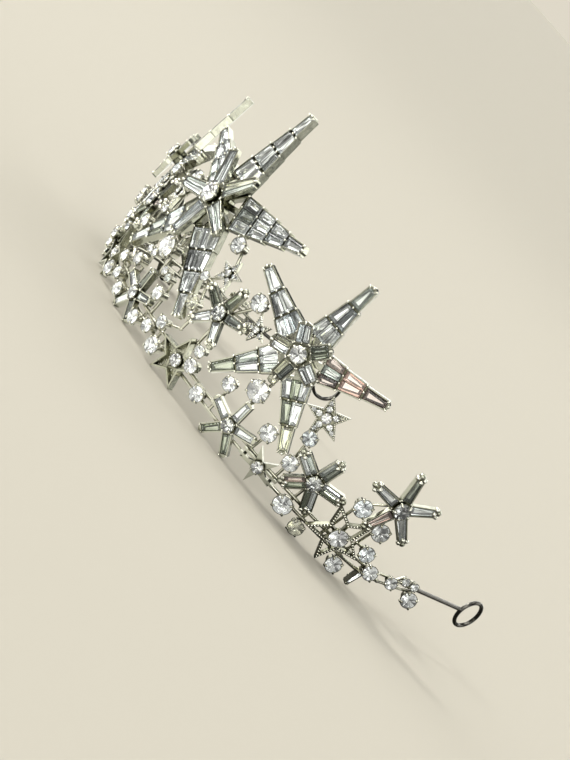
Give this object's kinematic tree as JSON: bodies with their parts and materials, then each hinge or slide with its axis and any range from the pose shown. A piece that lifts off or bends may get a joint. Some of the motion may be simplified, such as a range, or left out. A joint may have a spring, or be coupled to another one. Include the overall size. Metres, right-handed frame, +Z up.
{
  "type": "star tiara",
  "caption": "Tall open tiara of star settings with baguette and round clear stones on two base wires, with a looped wire at each end for hair pins.",
  "frame": {"origin": "middle of the box the tiara stands in, at the floor it rests on", "axes": "+Z up, -Y towards the front of the tiara, +X towards the wearer's left"},
  "size_m": [0.1688, 0.1457, 0.0827],
  "materials": {
    "base_metal": "silver-plated wires, stems and cups, polished and slightly darkened in the corners",
    "setting_metal": "silver-plated cast settings, polished, with dark recesses",
    "end_wire_metal": "plain drawn wire, dark grey and glossy",
    "baguette_crystal": "clear step-cut glass with a silvered back",
    "round_crystal": "clear brilliant-cut glass with a silvered back"
  },
  "bodies": {
    "root": {"base_front": "base_metal", "base_shoulder_left": "base_metal", "base_shoulder_right": "base_metal", "base_left": "base_metal", "base_right": "base_metal", "end_wire_left": "end_wire_metal", "end_wire_right": "end_wire_metal", "centre_star": "setting_metal", "left_star": "setting_metal", "right_star": "setting_metal", "low_centre_star": "setting_metal", "low_star_left": "setting_metal", "low_star_right": "setting_metal", "ball_star_left": "setting_metal", "ball_star_right": "setting_metal", "leaf_star_left": "setting_metal", "leaf_star_right": "setting_metal", "end_star_left": "setting_metal", "end_star_right": "setting_metal", "relief_star_left": "setting_metal", "relief_star_right": "setting_metal", "paved_star_left": "setting_metal", "paved_star_right": "setting_metal", "high_star_left": "setting_metal", "high_star_right": "setting_metal", "bar_star_left": "setting_metal", "bar_star_right": "setting_metal", "open_star_left": "setting_metal", "open_star_right": "setting_metal", "dotted_star_left": "setting_metal", "dotted_star_right": "setting_metal", "centre_star_stones": "baguette_crystal", "left_star_stones": "baguette_crystal", "right_star_stones": "baguette_crystal", "centre_overlay_stones": "baguette_crystal", "left_overlay_stones": "baguette_crystal", "right_overlay_stones": "baguette_crystal", "centre_hub_stone": "round_crystal", "left_hub_stone": "round_crystal", "right_hub_stone": "round_crystal", "centre_drop_stone": "round_crystal", "left_drop_stone": "round_crystal", "right_drop_stone": "round_crystal", "low_centre_star_stones": "baguette_crystal", "low_star_stones_left": "baguette_crystal", "low_star_stones_right": "baguette_crystal", "ball_star_stones_left": "baguette_crystal", "ball_star_stones_right": "baguette_crystal", "leaf_star_stones_left": "baguette_crystal", "leaf_star_stones_right": "baguette_crystal", "end_star_stones_left": "baguette_crystal", "end_star_stones_right": "baguette_crystal", "round_stones_front": "round_crystal", "round_stones_left": "round_crystal", "round_stones_right": "round_crystal"}
  },
  "joints": []
}
